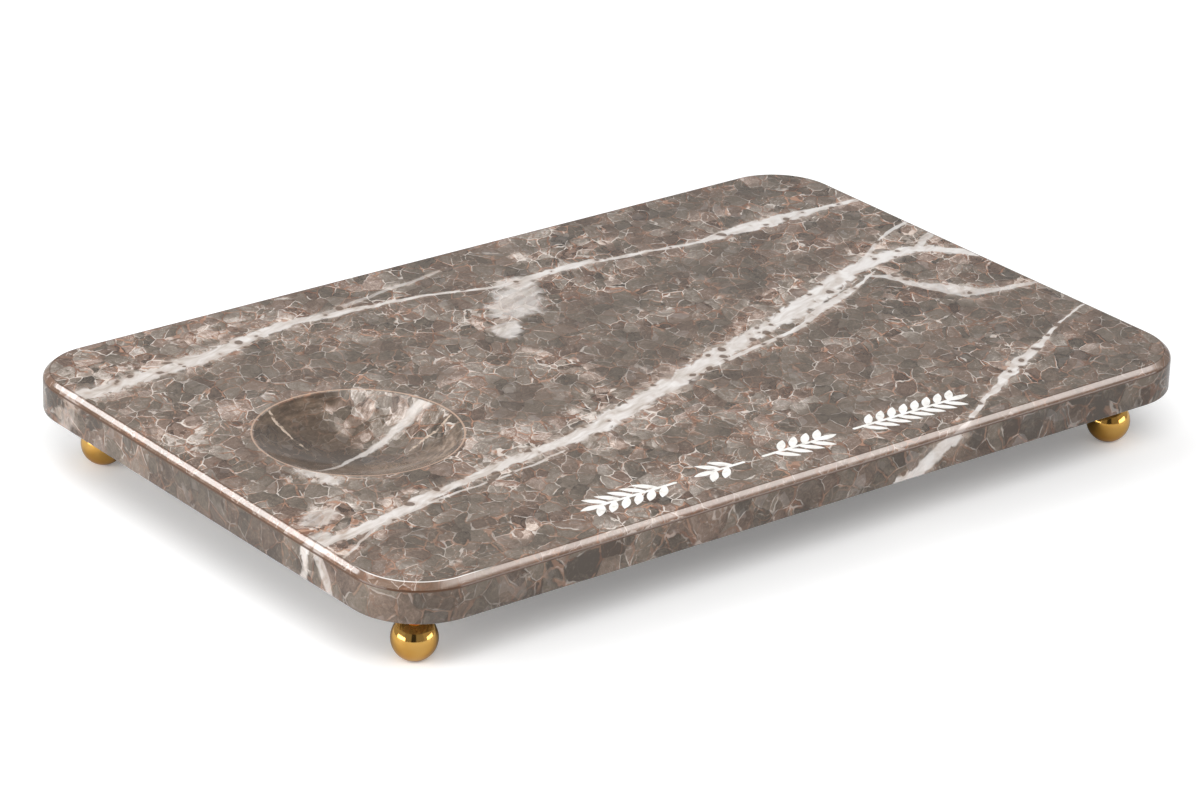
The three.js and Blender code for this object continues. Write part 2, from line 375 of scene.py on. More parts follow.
VEIN_DIP_HALF = [
    (-165, 0.7), (-144, 0.9), (-134, 1.1), (-122, 1.5), (-113, 2.0), (-106, 2.3), (-98, 2.9),
    (-80, 3.5)]

# Veins of like strength: how strong they are on the top and on the sides, then each with its
# drift along Y for each unit of depth, and how far it widens with depth
VEIN_GROUPS = (
    (0.97, 0.75, (
        (VEIN_MAIN, VEIN_MAIN_HALF, -0.6, 0.0),
        (VEIN_FRONT, VEIN_FRONT_HALF, 1.04, 2.6))),
    (0.92, 0.3, (
        (VEIN_BACK, VEIN_BACK_HALF, 0.4, 0.0),
        (VEIN_BRANCH, VEIN_BRANCH_HALF, -0.5, 0.0))),
    (0.7, 0.3, (
        (VEIN_LOWER, VEIN_LOWER_HALF, -0.5, 0.0),
        (VEIN_RIGHT, VEIN_RIGHT_HALF, 0.2, 0.0),
        (VEIN_FORK, VEIN_FORK_HALF, -0.5, 0.0),
        (VEIN_TWIG, VEIN_TWIG_HALF, -0.5, 0.0))),
    (0.45, 0.2, (
        (VEIN_FAINT, VEIN_FAINT_HALF, 0.4, 0.0),)),
)

# Fine cracks in the dip: the left one as (y, x), the right one as (x, y)
CRACK_LEFT = [(3, -144), (6.7, -144.5), (11, -145.2), (19, -145.4), (29, -145), (34, -144)]
CRACK_LEFT_HALF = [(3, 0), (8, 0.55), (19, 0.5), (29, 0.5), (34, 0.5)]
CRACK_RIGHT = [(-120, -19), (-116, -18), (-109.5, -15), (-100, -12), (-93, -11), (-88, -9)]
CRACK_RIGHT_HALF = [(-120, 0), (-114, 0.55), (-100, 0.6), (-88, 0.5)]

# The fragments are longer towards the front left than across, and nearly of full height.
# On the sides they are larger, and among them lie chips, bites, specks and a net of threads.
GRAIN_TURN = CAMERA_AZIMUTH
FRAGMENT_SHAPE = (1.12, 0.80, 0.95)
SIDE_COARSENESS = 0.75
FRAGMENT_SIZE = 7.5
CHIP_SIZE = 3.8
BITE_SIZE = 4.6
SPECK_SIZE = 5.0
NET_SIZE = 5.0

# Which way the streaks run in the blotches, the veins and the dip
STREAK_TURN = math.radians(-47)
VEIN_TURN = math.radians(-18)
DIP_STREAK_TURN = math.radians(-40)

# Colours from dark tones to pale ones
GREYS = [
    (0.0, "443b33"), (0.25, "655a4f"), (0.42, "7a6e63"),
    (0.58, "92877d"), (0.78, "bbb1a9"), (1.0, "e5ddd7")]
BROWNS = [
    (0.0, "443328"), (0.25, "685246"), (0.45, "826c5f"),
    (0.62, "a28c80"), (0.8, "c9b7ab"), (1.0, "ebdcd2")]
# Olive browns for the dip where shade is painted
SHADED_OLIVES = [(0.0, "40342a"), (0.25, "625142"), (0.45, "826d5b"), (0.7, "ac9581")]
VEIN_WHITES = [
    (0.28, "b5a99f"), (0.42, "cec5be"), (0.58, "dfd9d5"), (0.72, "ebe7e4")]
PALE_TINT = (1.0, 0.945, 0.90, 1.0)
# Painted shade for the bevel, and the painted dark lines along it
BEVEL_SHADE_BROWN = "6f503d"
BEVEL_SHADE_LINE = "4d3322"

# Ovals on the top as (x, y, half length, half width, turn in degrees)
CALM_SPOTS = [
    (-78, 57, 24, 14, 0), (-57, -20, 25, 16, 0), (25, 45, 28, 14, -5), (12, 2, 24, 22, 0),
    (77, 57, 24, 13, 0), (168, 60, 16, 12, 0), (90, 31, 12, 8, 0), (50, -43, 22, 12, 10),
    (100, -25, 24, 12, 15), (162, -43, 13, 11, 0), (-20, -77, 28, 10, 0), (140, 113, 44, 10, 0),
    (-72, 30, 14, 10, 0), (106, -62, 30, 14, 0), (165, -72, 22, 9, 10), (40, -92, 26, 8, 0),
    (-168, -92, 20, 8, 0), (128, 38, 18, 8, 0)]
PALE_SPOTS = [
    (165, -18, 24, 9, -50), (186, 28, 14, 26, 10), (-159, -10, 8, 34, 4), (-184, 34, 13, 18, 0),
    (-181, -59, 23, 14, 20), (-50, -70, 16, 7, -30), (35, 103, 9, 10, 0), (-22, 8, 8, 26, 10),
    (52, 75, 6, 10, 0), (-120, 112, 30, 8, 10), (188, -34, 14, 5, 0), (104, 17, 30, 8, 17),
    (-28, -26, 10, 12, 20), (18, 86, 14, 6, 0), (-150, -62, 20, 7, 15), (-170, 95, 30, 12, 0),
    (-126, -112, 9, 6, 20), (-192, -82, 10, 8, 0), (-164, -28, 7, 13, 10), (55, 101, 34, 6, 0),
    (-44, -38, 16, 9, 15), (-182, 106, 14, 9, 0), (164, 34, 18, 8, 0), (-12, 62, 22, 12, 30),
    (64, -2, 24, 6, 20)]
WHITE_SPOTS = [
    (3, 69, 25, 13, 48), (14, 84, 11, 8, 20), (-18, 47, 11, 7, 50), (-184, -58, 12, 6, 20),
    (-163, -24, 5, 13, 12), (162, -22, 9, 4, -50), (192, 8, 7, 3, -45), (-196, -72, 8, 4, 0)]
# Painted shade in the dip, and the dip's pale fragments
DIP_SHADE_SPOTS = [(-146, 12, 26, 38, 8), (-122, -34, 38, 13, 12), (-124, 38, 15, 7, -6)]
DIP_PALE_SPOTS = [(-100, 15, 14, 18, -10), (-112, 3, 18, 10, 25), (-121, 21, 4, 12, -6)]


def spots(g, place, ovals, hard=0.55):
    """A mask of ovals, 1 inside and fading to 0, the same at every depth."""
    x, y, _ = g.axes(place)
    flat = g.joined(x, y, 1.0)
    nearest = None
    for middle_x, middle_y, length, width, turn in ovals:
        cos, sin = math.cos(math.radians(turn)), math.sin(math.radians(turn))
        along = g.vector("DOT_PRODUCT", flat, (
            cos / length, sin / length, -(middle_x * cos + middle_y * sin) / length))
        across = g.vector("DOT_PRODUCT", flat, (
            -sin / width, cos / width, (middle_x * sin - middle_y * cos) / width))
        away = g.maths("MULTIPLY_ADD", along, along, g.times(across, across))
        nearest = away if nearest is None else g.least(nearest, away)
    return g.step(g.maths("SQRT", nearest), hard, 1.25, 1.0, 0.0)


def beside(g, along, across, depth, middle, half, slant=0.0, drop=0.0):
    """How far from a vein's middle, in half widths, and far off where it has no width. It
    drifts sideways by slant for each unit of depth, and widens with depth by drop."""
    line = g.maths("MULTIPLY_ADD", depth, slant, g.curve(along, middle, -320, 160))
    width = g.curve(along, half, 0, 10)
    missing = g.step(width, 0.5, 0.1, 0.0, 9.0)
    if drop:
        width = g.plus(width, g.step(depth, 1.0, 5.0, 0.0, drop))
    width = g.most(width, 0.5)
    off = g.maths("DIVIDE", g.maths("ABSOLUTE", g.minus(across, line)), width)
    return g.plus(off, missing)


def within(g, off, ragged, softness=0.4):
    """How much of a vein there is that far from its middle."""
    share = g.plus(off, ragged)
    return g.step(share, 1.0 + softness / 2, 1.0 - softness / 2)


def thread(g, edge, width, shown, strength):
    """A thin line along the borders of fragments, where it is shown."""
    core = g.step(g.maths("DIVIDE", edge, width), 1.0, 0.5)
    return g.times(g.times(core, shown), strength)


class Stone:
    """The marble, in layers. Each method adds one, and keeps the values that later ones use.
    Lengths are in millimetres, and most other values run from 0 to 1."""

    def __init__(self):
        self.g = g = Graph("polished_marble")
        self.place = g.place()
        self.x, self.y, z = g.axes(self.place)
        self.depth = g.minus(SLAB_TOP / MM, z)

    def part(self):
        """Tells the dip and the sides from the top."""
        g = self.g
        rim = DIP_RADIUS / MM
        self.spoke = g.vector("SUBTRACT", g.joined(self.x, self.y, 0.0), (DIP_X / MM, DIP_Y / MM, 0.0))
        self.across = g.vector("LENGTH", self.spoke)
        inside = g.step(self.across, rim - 0.4, rim, 1.0, 0.0)
        self.dip = g.times(inside, g.step(self.depth, 0.25, 0.45))
        below = g.step(self.depth, 2.2, 3.2)
        self.side = g.times(below, g.step(self.across, rim, rim + 1.0))

    def bend(self):
        """Turns, stretches and bends the places that the fragments' borders follow."""
        g = self.g
        lying = g.rotated(self.place, -GRAIN_TURN)
        coarse = g.blend(self.dip, g.blend(self.side, 1.0, SIDE_COARSENESS), 1.0)
        tall = g.scaled(g.vector("MULTIPLY", lying, FRAGMENT_SHAPE), coarse)
        self.broad = g.warped(tall, period=24, reach=9)
        crooked = g.warped(self.broad, period=6.0, reach=2.6, detail=1)
        self.bent = g.warped(crooked, period=2.2, reach=0.8)

    def scatter(self):
        """Gives each fragment its random values, and bites into the borders of the veins."""
        g, place = self.g, self.place
        self.loose = g.warped(place, period=20, reach=12, detail=3)
        pebble, _ = g.cells(self.bent, FRAGMENT_SIZE)
        self.pebble_tone, self.pebble_hue, self.pebble_kind = g.axes(pebble)
        bite, _ = g.cells(g.vector("ADD", self.bent, (9, 41, 0)), BITE_SIZE)
        self.bite = g.axes(bite)[1]
        ragged = g.between(g.noise(place, 6.5, detail=2, roughness=0.5), 0.25, 0.75, -0.3, 0.3)
        self.bitten = g.plus(ragged, g.between(self.bite, 0, 1, -0.2, 0.2))
        self.wavy = g.warped(place, period=14, reach=4.0, detail=2)
        self.wavy_x, self.wavy_y, _ = g.axes(self.wavy)

    def trace(self):
        """Finds how white the veins make a place, and how far off the nearest one is."""
        g = self.g
        white, nearest = None, None
        for on_top, on_side, veins in VEIN_GROUPS:
            off = None
            for middle, half, slant, drop in veins:
                this = beside(g, self.wavy_x, self.wavy_y, self.depth, middle, half, slant, drop)
                off = this if off is None else g.least(off, this)
            amount = g.times(within(g, off, self.bitten), g.blend(self.side, on_top, on_side))
            white = amount if white is None else g.most(white, amount)
            nearest = off if nearest is None else g.least(nearest, off)
        left_side = g.times(self.side, g.step(self.x, -180, -198))
        self.white = g.times(white, g.blend(left_side, 1.0, 0.7))
        self.nearest = nearest

    def spread(self):
        """Finds where the stone is calm, busy, pale or white."""
        g = self.g
        near_vein = g.step(self.nearest, 3.4, 1.1)
        calm = spots(g, self.loose, CALM_SPOTS)
        self.pale = g.most(spots(g, self.loose, PALE_SPOTS), g.times(near_vein, 0.75))
        combed = g.vector("MULTIPLY", g.rotated(self.bent, STREAK_TURN), (0.35, 1.0, 1.0))
        streaks = g.noise(combed, 4, detail=3, roughness=0.6)
        blotch = spots(g, g.warped(self.place, period=9, reach=9, detail=3), WHITE_SPOTS, 0.4)
        blotch = g.step(g.plus(blotch, g.between(self.bite, 0, 1, -0.3, 0.3)), 0.15, 0.85)
        blotch = g.times(blotch, g.between(streaks, 0.36, 0.56, 0.86, 1.0))
        self.blotch = g.times(blotch, g.between(self.pebble_tone, 0, 1, 0.66, 1.0))
        busy = g.step(g.noise(self.broad, 40, detail=2.5), 0.36, 0.64, 0.25, 1.0)
        busy = g.times(busy, g.minus(1.0, g.times(calm, 0.85)))
        busy = g.most(busy, g.most(self.pale, self.blotch))
        self.busy = g.blend(self.side, busy, g.times(busy, 0.55))

    def mark_dip(self):
        """In the dip, painted shade darkens the left and front parts, and the fragments beyond them are
        pale.
        """
        g = self.g
        # Painted shade on the dip's left and front parts
        dark = spots(g, g.warped(self.place, period=12, reach=5), DIP_SHADE_SPOTS, 0.8)
        dark = g.times(self.dip, dark)
        pale = spots(g, g.warped(self.place, period=9, reach=6), DIP_PALE_SPOTS)
        self.dip_pale = g.times(self.dip, pale)
        self.dip_shade = g.times(dark, g.minus(1.0, self.dip_pale))
        busy = g.times(self.busy, g.minus(1.0, g.times(self.dip_shade, 0.85)))
        self.busy = g.blend(self.dip_pale, busy, 0.6)
        self.paled = g.most(self.pale, self.dip_pale)

    def swing(self, value, calm_reach, busy_reach):
        """A value's swing about its middle, wider where the stone is busy."""
        reach = self.g.blend(self.busy, calm_reach, busy_reach)
        return self.g.times(self.g.minus(value, 0.5), reach)

    def tone(self):
        """Fragments large and small, each with its own tone, with smoky wisps inside."""
        g, bent, busy = self.g, self.bent, self.busy
        self.pebble_edge = g.edge(bent, FRAGMENT_SIZE)
        self.other_edge = g.edge(g.vector("ADD", bent, (0.65, 0.6, 0.3)), FRAGMENT_SIZE)
        chip, _ = g.cells(bent, CHIP_SIZE)
        chip_tone, self.chip_hue, chip_kind = g.axes(chip)
        self.wisp = g.noise(bent, 3.6, detail=3, roughness=0.55, distortion=2.2)
        fibre = g.noise(bent, 1.3, detail=2, roughness=0.6, distortion=1.5)
        curl = g.noise(bent, 5.0, detail=2, distortion=1.6)
        self.smoke = g.noise(self.broad, 17, detail=3)
        parts = [
            self.swing(self.smoke, 0.16, 0.26),
            self.swing(self.pebble_tone, 0.16, 0.44),
            self.swing(chip_tone, 0.05, 0.16),
            self.swing(self.wisp, 0.26, 0.46),
            self.swing(fibre, 0.16, 0.30),
            g.times(self.pale, 0.18),
            # Painted shade: the stone darker towards the right
            g.between(self.x, -40, 160, 0.0, -0.04),
            g.times(g.step(self.pebble_kind, 0.76, 0.84),
                    g.times(busy, g.blend(self.pale, 0.14, 0.26))),
            g.times(self.dip_pale, 0.25),
            # Painted shade: the sides darker than the top, and more so towards the right
            g.times(self.side, g.between(self.x, -150, 190, -0.13, -0.22)),
            g.times(g.step(chip_kind, 0.66, 0.74), g.times(self.paled, -0.30)),
        ]
        halo = g.times(g.step(self.pebble_edge, 1.8, 0.2), g.step(self.smoke, 0.40, 0.60))
        parts.append(g.times(halo, g.blend(busy, 0.03, 0.11)))
        parts.append(g.times(g.step(self.other_edge, 1.1, 0.2), g.blend(busy, -0.04, -0.11)))
        hair = g.step(g.maths("ABSOLUTE", g.minus(curl, 0.5)), 0.022, 0.004)
        parts.append(g.times(hair, g.blend(busy, 0.05, 0.14)))
        tone = g.blend(busy, 0.23, 0.372)
        for part in parts:
            tone = g.plus(tone, part)
        return tone

    def streak_dip(self, tone):
        """Streaks follow the dip's wall where shade is painted on it, and run up to the right elsewhere.
        """
        g, across = self.g, self.across
        ring = g.vector("ADD", g.scaled(g.vector("NORMALIZE", self.spoke), 9.0),
                        g.joined(0.0, 0.0, g.times(across, 0.9)))
        strata = g.noise(ring, 2.0, detail=3, roughness=0.6)
        floor = g.plus(g.between(self.smoke, 0.25, 0.75, 0.33, 0.48),
                       g.between(self.wisp, 0.3, 0.7, -0.06, 0.08))
        floor = g.plus(floor, g.between(self.pebble_tone, 0, 1, -0.03, 0.07))
        strata = g.blend(g.step(across, 22, 34), floor, strata)
        # Painted light: within the dip's painted shade, the front wall is made paler, as if lit
        lit_front_wall = g.step(self.y, -8, -30)
        shade_tone = g.times(g.between(strata, 0.36, 0.64, 0.0, 1.0), g.blend(lit_front_wall, 0.34, 0.46))
        shade_tone = g.plus(shade_tone, g.blend(lit_front_wall, -0.03, 0.22))
        tone = g.blend(g.times(self.dip_shade, 0.78), tone, shade_tone)
        leaning = g.rotated(g.warped(self.spoke, period=14, reach=5), DIP_STREAK_TURN)
        grain = g.noise(g.vector("MULTIPLY", leaning, (0.14, 1, 1)), 2.0, detail=3, roughness=0.6)
        lean = g.times(g.times(self.dip, g.step(self.x, -122, -104)), g.step(across, 14, 26))
        lean = g.times(lean, g.minus(1.0, self.dip_shade))
        return g.plus(tone, g.times(lean, g.between(grain, 0.35, 0.65, -0.22, 0.22)))

    def colour(self, tone):
        """Greys, browns for some of the fragments, and olive browns where shade is painted in the dip."""
        g = self.g
        grey = g.ramp(tone, GREYS)
        brown = g.ramp(tone, BROWNS)
        browned = g.times(g.step(self.pebble_hue, 0.45, 0.8), g.blend(self.busy, 0.3, 0.85))
        olive = g.ramp(tone, SHADED_OLIVES)
        colour = g.mixed(browned, grey, brown)
        colour = g.mixed(g.times(self.dip_shade, 0.85), colour, olive)
        warm = g.mixed(1.0, colour, PALE_TINT, blend="MULTIPLY")
        return g.mixed(g.times(self.pale, 0.5), colour, warm)

    def lace(self, colour):
        """Cream and rust threads between the fragments, and a finer net of both."""
        g, place, busy = self.g, self.place, self.busy
        wide = g.between(g.noise(place, 4, detail=2), 0.35, 0.68, 0.13, 0.38)
        wide = g.times(wide, g.blend(self.pale, 1.0, 1.35))
        patchy = g.step(g.noise(self.bent, 6, detail=2), 0.47, 0.60)
        cream = thread(g, self.pebble_edge, wide, patchy, g.blend(busy, 0.12, 0.82))
        elsewhere = g.step(g.noise(g.vector("ADD", place, (71, 13, 0)), 10, detail=2), 0.43, 0.55)
        apart = g.noise(g.vector("ADD", place, (5, 31, 7)), 4, detail=2)
        rust_width = g.between(apart, 0.35, 0.68, 0.20, 0.55)
        rust = thread(g, self.other_edge, rust_width, elsewhere, g.blend(busy, 0.28, 0.9))
        rust_colour = g.mixed(g.step(self.chip_hue, 0.3, 0.7), "7f5540", "b0856c")
        net_edge = g.edge(g.vector("ADD", self.bent, (31, 17, 3)), NET_SIZE)
        net = thread(g, net_edge, 0.30, g.step(self.smoke, 0.40, 0.60), g.blend(busy, 0.12, 0.55))
        net_colour = g.mixed(g.step(self.wisp, 0.50, 0.60), "94694f", "dccfc4")
        lit = g.minus(1.0, g.times(g.most(self.dip_shade, self.dip_pale), 0.6))
        lit = g.times(lit, g.blend(self.side, 1.0, 0.6))
        colour = g.mixed(g.times(net, lit), colour, net_colour)
        colour = g.mixed(g.times(rust, lit), colour, rust_colour)
        return g.mixed(g.times(cream, lit), colour, "e6dcd3")

    def crack(self, colour):
        """Fine broken cracks in the dip. Its vein and the white blotches join the veins."""
        g = self.g
        dip_vein = beside(g, self.wavy_x, self.wavy_y, self.depth, VEIN_DIP, VEIN_DIP_HALF)
        dip_vein = g.times(within(g, dip_vein, self.bitten, softness=0.9), 0.75)
        crooked_x, crooked_y, _ = g.axes(g.warped(self.wavy, period=4, reach=3.4, detail=3))
        left = beside(g, self.y, crooked_x, self.depth, CRACK_LEFT, CRACK_LEFT_HALF)
        right = beside(g, self.x, crooked_y, self.depth, CRACK_RIGHT, CRACK_RIGHT_HALF)
        crack = within(g, g.least(left, right), self.bitten)
        broken = g.step(g.noise(self.place, 4, detail=3), 0.42, 0.56, 0.05, 0.85)
        cracks = g.times(crack, broken)
        colour = g.mixed(g.times(cracks, self.dip), colour, "cdb9a6")
        white = g.most(self.white, g.times(dip_vein, self.dip))
        self.white = g.most(white, g.times(self.blotch, 0.95))
        return colour

    def whiten(self, colour):
        """Haze beside the veins, then the veins, streaked along their length."""
        g = self.g
        haze = g.times(g.step(self.nearest, 2.3, 0.9),
                       g.step(g.noise(self.place, 8, detail=3), 0.42, 0.62))
        colour = g.mixed(g.times(haze, 0.3), colour, "d5c8be")
        lengthwise = g.vector("MULTIPLY", g.rotated(self.wavy, VEIN_TURN), (0.3, 1, 1))
        tone = g.noise(lengthwise, 5, detail=3, roughness=0.55, distortion=1.0)
        tone = g.plus(tone, g.between(self.x, -160, 140, -0.05, 0.10))
        return g.mixed(self.white, colour, g.ramp(tone, VEIN_WHITES))

    def speckle(self, colour):
        """Dark fragments with stained borders, caught in the veins and beside them."""
        g = self.g
        dark, dark_middle = g.cells(g.vector("MULTIPLY", self.bent, (0.8, 1, 1)), SPECK_SIZE)
        dark_size, dark_kind, _ = g.axes(dark)
        reach = g.between(dark_size, 0, 1, 0.17, 0.43)
        caught = g.times(g.step(dark_kind, 0.36, 0.40), g.step(self.nearest, 1.7, 1.2))
        away = g.maths("DIVIDE", dark_middle, reach)
        stain = g.times(g.step(away, 1.9, 0.9), caught)
        colour = g.mixed(g.times(stain, 0.35), colour, "a48a76")
        speck = g.times(g.step(away, 1.0, 0.7), caught)
        return g.mixed(g.times(speck, 0.85), colour, "5f4a3b")

    def paint_rim_highlight(self, colour):
        """A painted highlight: a paler line along the dip's rounded rim."""
        g = self.g
        edge = DIP_RADIUS / MM
        rim = g.times(g.step(self.across, edge - 0.3, edge - 0.1),
                      g.step(self.across, edge + 0.4, edge + 0.7, 1.0, 0.0))
        rim = g.times(rim, g.step(self.depth, 1.5, 1.0))
        return g.mixed(g.times(rim, 0.75), colour, "c2a48f")

    def paint_bevel_light(self, colour):
        """A painted highlight makes the bevel paler, and painted shade makes it browner below, at the
        corners and at both ends. Thin painted dark lines run along it, below and above; the one above
        turns into a white painted highlight at the front left."""
        g, depth = self.g, self.depth
        flat_x = (SLAB_HIGH.x - CORNER_RADIUS) / MM
        flat_y = (SLAB_HIGH.y - CORNER_RADIUS) / MM
        top, low = BEVEL_INSET / MM, BEVEL_DROP / MM
        flat = g.joined(self.x, self.y, 0.0)
        beyond = g.vector("SUBTRACT", g.vector("ABSOLUTE", flat), (flat_x, flat_y, 0.0))
        reach = g.vector("LENGTH", g.vector("MAXIMUM", beyond, (0.0, 0.0, 0.0)))
        inset = g.minus(CORNER_RADIUS / MM, reach)
        bevel = g.times(g.step(inset, top + 0.2, top - 0.1), g.step(depth, low + 0.2, low))
        corner_x, corner_y, _ = g.axes(beyond)
        corner = g.step(g.least(corner_x, corner_y), 2, 12)
        end = g.step(g.minus(corner_x, corner_y), -2, 6)
        # Painted shade: the bevel browner at the corners, at both ends and low down; painted highlight:
        # paler elsewhere
        bevel_shade = g.most(g.most(corner, end), g.step(depth, 0.8, 2.1))
        bevel_paint = g.mixed(bevel_shade, "c8b8af", BEVEL_SHADE_BROWN)
        colour = g.mixed(g.times(bevel, 0.5), colour, bevel_paint)
        outer = g.step(inset, top + 0.6, top + 0.3)
        under = g.times(g.step(depth, low, low + 0.25), g.step(depth, low + 1.1, low + 0.8))
        over = g.times(g.step(inset, top + 0.8, top + 0.5), g.step(inset, top, top + 0.2))
        over = g.times(over, g.step(depth, 1.0, 0.5))
        # Painted dark line below the bevel's painted highlight
        colour = g.mixed(g.times(outer, g.times(under, 0.9)), colour, BEVEL_SHADE_LINE)
        # Painted highlight: the line above the bevel turns white at the front left
        front_left = g.times(g.step(self.x, -150, -168), g.step(self.y, -94, -110))
        over_line_paint = g.mixed(front_left, BEVEL_SHADE_LINE, "fbf5f0")
        return g.mixed(g.times(over, g.blend(front_left, 0.6, 0.95)), colour, over_line_paint)

    def polish(self, colour):
        g = self.g
        fine = g.noise(self.place, 1.1, detail=3)
        g.surface(Base_Color=colour, Roughness=g.between(fine, 0.3, 0.7, 0.09, 0.15), IOR=1.55)
        g.bump(g.noise(self.place, 0.7, detail=2), distance=0.004)


def marble():
    """The slab's stone. Too many nodes at once make it render black, so it has few to spare."""
    stone = Stone()
    stone.part()
    stone.bend()
    stone.scatter()
    stone.trace()
    stone.spread()
    stone.mark_dip()
    tone = stone.streak_dip(stone.tone())
    colour = stone.colour(tone)
    colour = stone.lace(colour)
    colour = stone.crack(colour)
    colour = stone.whiten(colour)
    colour = stone.speckle(colour)
    colour = stone.paint_rim_highlight(colour)
    colour = stone.paint_bevel_light(colour)
    stone.polish(colour)
    return stone.g.material


# Metals, nylon and resin

def polished_brass():
    g = Graph("polished_brass")
    place = g.place()
    cloud = g.noise(place, 9, detail=2)
    turned = g.vector("MULTIPLY", place, (0.15, 0.15, 6.0))
    marks = g.noise(turned, 1.2, detail=3)
    colour = g.mixed(g.step(cloud, 0.35, 0.7), "e6b564", "dda753")
    g.surface(Base_Color=colour, Metallic=1.0, Roughness=g.between(marks, 0.3, 0.7, 0.07, 0.13))
    g.bump(marks, distance=0.0015)
    return g.material


def stud_steel():
    g = Graph("zinc_plated_steel")
    place = g.place()
    cloud = g.noise(place, 2.5, detail=4, roughness=0.6)
    thread = g.maths("PINGPONG", g.times(g.axes(place)[2], 2 / 0.8), 1.0)
    colour = g.mixed(g.step(cloud, 0.3, 0.7), "a6a9ac", "c4c5c4")
    g.surface(Base_Color=colour, Metallic=1.0, Roughness=g.between(cloud, 0.3, 0.7, 0.28, 0.42))
    g.bump(thread, distance=0.4)
    return g.material


def insert_brass():
    g = Graph("turned_brass")
    place = g.place()
    rings = g.noise(g.vector("MULTIPLY", place, (0.1, 0.1, 8.0)), 1.5, detail=3)
    colour = g.mixed(rings, "a98445", "cba562")
    g.surface(Base_Color=colour, Metallic=1.0, Roughness=g.between(rings, 0.3, 0.7, 0.3, 0.45))
    g.bump(rings, distance=0.01)
    return g.material


def nylon():
    g = Graph("white_nylon")
    place = g.place()
    haze = g.noise(place, 2, detail=3)
    colour = g.mixed(haze, "dcd8d0", "efece6")
    g.surface(Base_Color=colour, Roughness=g.between(haze, 0.3, 0.7, 0.42, 0.58), Subsurface_Weight=0.15)
    g.shader.inputs["Subsurface Radius"].default_value = (MM, MM, MM)
    g.bump(g.noise(place, 0.5, detail=2), distance=0.01)
    return g.material


def white_resin():
    g = Graph("white_resin")
    place = g.place()
    mottle = g.noise(place, 3, detail=4)
    colour = g.mixed(g.step(mottle, 0.3, 0.75), "e9e6e1", "fbfaf8")
    g.surface(Base_Color=colour, Roughness=g.between(mottle, 0.3, 0.7, 0.25, 0.4))
    g.bump(g.noise(place, 0.6, detail=2), distance=0.01)
    return g.material


# Meshes

def arc(centre, radius, start, end, steps):
    """Points along an arc, both ends included, with angles in degrees."""
    angles = [math.radians(start + (end - start) * i / steps) for i in range(steps + 1)]
    return [(centre[0] + radius * math.cos(a), centre[1] + radius * math.sin(a)) for a in angles]


def mesh_object(name, points, faces):
    mesh = bpy.data.meshes.new(name)
    mesh.from_pydata(points, [], faces)
    mesh.validate()
    made = bpy.data.objects.new(name, mesh)
    bpy.context.scene.collection.objects.link(made)
    return made


def turned(name, profile, sides, x=0.0, y=0.0):
    """A solid of revolution about a vertical axis, from a profile of (radius, height)
    that runs anticlockwise from the axis back to the axis."""
    points, faces = [], []
    rings = []
    for radius, height in profile:
        if radius < 1e-9:
            rings.append([len(points)])
            points.append((x, y, height))
            continue
        rings.append([len(points) + i for i in range(sides)])
        for i in range(sides):
            angle = 2 * math.pi * i / sides
            points.append((x + radius * math.cos(angle), y + radius * math.sin(angle), height))
    for low, high in zip(rings, rings[1:]):
        for i in range(sides):
            j = (i + 1) % sides
            corners = [low[i % len(low)], low[j % len(low)], high[j % len(high)], high[i % len(high)]]
            faces.append(list(dict.fromkeys(corners)))
    return mesh_object(name, points, faces)


def sheet(groups):
    """Triangulates flat loops of points, anticlockwise. Returns the points, the triangles
    of each named group, and where each given point went. Later groups cover earlier ones."""
    points, loops, owners = [], [], []
    for rank, group in enumerate(groups.values()):
        for loop in group:
            loops.append(list(range(len(points), len(points) + len(loop))))
            owners.append(rank)
            points += [Vector(point) / MM for point in loop]
    made, _, faces, sources, _, inside = delaunay_2d_cdt(points, [], loops, 1, 1e-5)
    where = {source: i for i, given in enumerate(sources) for source in given}
    sorted_faces = [[] for _ in groups]
    for face, members in zip(faces, inside):
        sorted_faces[max(owners[member] for member in members)].append(face)
    return [point * MM for point in made], dict(zip(groups, sorted_faces)), where


def rim_edges(faces):
    """The edges that only one of the faces has, in its direction."""
    edges = {(a, b) for face in faces for a, b in zip(face, face[1:] + face[:1])}
    return [(a, b) for a, b in sorted(edges) if (b, a) not in edges]


class Builder:
    """Collects points and faces for a mesh."""

    def __init__(self):
        self.points, self.faces, self.known = [], [], {}

    def ring(self, points):
        start = len(self.points)
        self.points += points
        return list(range(start, len(self.points)))

    def spot(self, flat, i, height):
        """Point i of a flat sheet, raised to a height, made once."""
        key = (round(height, 9), i)
        if key not in self.known:
            self.known[key] = len(self.points)
            self.points.append((flat[i][0], flat[i][1], height))
        return self.known[key]

    def lay(self, flat, faces, height, down=False):
        for face in faces:
            spots = [self.spot(flat, i, height) for i in face]
            self.faces.append(spots[::-1] if down else spots)

    def walls(self, flat, faces, low, high):
        """Upright walls round faces, from low to high, that face away from them."""
        for a, b in rim_edges(faces):
            self.faces.append([self.spot(flat, a, low), self.spot(flat, b, low),
                               self.spot(flat, b, high), self.spot(flat, a, high)])

    def loft(self, low, high):
        for i in range(len(low)):
            j = (i + 1) % len(low)
            corners = [low[i], low[j], high[j % len(high)], high[i % len(high)]]
            self.faces.append(list(dict.fromkeys(corners)))

    def made(self, name):
        return mesh_object(name, self.points, self.faces)


def smoothed(piece, angle=35):
    """Smooth shading with crisp edges, and flat faces that stay flat."""
    piece.data.shade_smooth()
    piece.data.set_sharp_from_angle(angle=math.radians(angle))
    weighted = piece.modifiers.new("weighted", "WEIGHTED_NORMAL")
    weighted.keep_sharp = True


